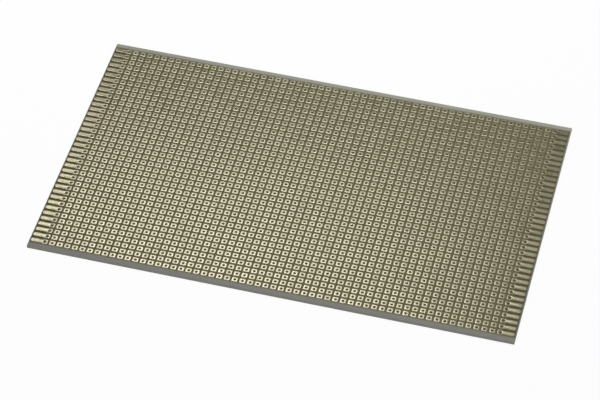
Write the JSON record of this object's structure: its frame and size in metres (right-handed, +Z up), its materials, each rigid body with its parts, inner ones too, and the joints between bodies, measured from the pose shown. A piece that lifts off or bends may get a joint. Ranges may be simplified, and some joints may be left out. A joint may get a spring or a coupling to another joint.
{
  "type": "prototype board",
  "caption": "Drilled glass-epoxy prototype board with a grid of separate tinned copper pads and a row of edge contacts along each short side.",
  "frame": {"origin": "middle of the underside of the board", "axes": "+X along the long side, +Y along the short side, +Z up out of the copper side"},
  "size_m": [0.16, 0.1, 0.0013],
  "materials": {
    "epoxy": "bare woven glass-epoxy sheet, olive to grey, satin, with sawn grey edges",
    "tinned_copper": "hot-tinned copper, warm pale grey, satin"
  },
  "bodies": {
    "root": {"laminate": "epoxy", "pad_row_01": "tinned_copper", "pad_row_02": "tinned_copper", "pad_row_03": "tinned_copper", "pad_row_04": "tinned_copper", "pad_row_05": "tinned_copper", "pad_row_06": "tinned_copper", "pad_row_07": "tinned_copper", "pad_row_08": "tinned_copper", "pad_row_09": "tinned_copper", "pad_row_10": "tinned_copper", "pad_row_11": "tinned_copper", "pad_row_12": "tinned_copper", "pad_row_13": "tinned_copper", "pad_row_14": "tinned_copper", "pad_row_15": "tinned_copper", "pad_row_16": "tinned_copper", "pad_row_17": "tinned_copper", "pad_row_18": "tinned_copper", "pad_row_19": "tinned_copper", "pad_row_20": "tinned_copper", "pad_row_21": "tinned_copper", "pad_row_22": "tinned_copper", "pad_row_23": "tinned_copper", "pad_row_24": "tinned_copper", "pad_row_25": "tinned_copper", "pad_row_26": "tinned_copper", "pad_row_27": "tinned_copper", "pad_row_28": "tinned_copper", "pad_row_29": "tinned_copper", "pad_row_30": "tinned_copper", "pad_row_31": "tinned_copper", "pad_row_32": "tinned_copper", "pad_row_33": "tinned_copper", "pad_row_34": "tinned_copper", "pad_row_35": "tinned_copper", "pad_row_36": "tinned_copper", "pad_row_37": "tinned_copper", "pad_row_38": "tinned_copper", "left_contacts": "tinned_copper", "right_contacts": "tinned_copper"}
  },
  "joints": []
}
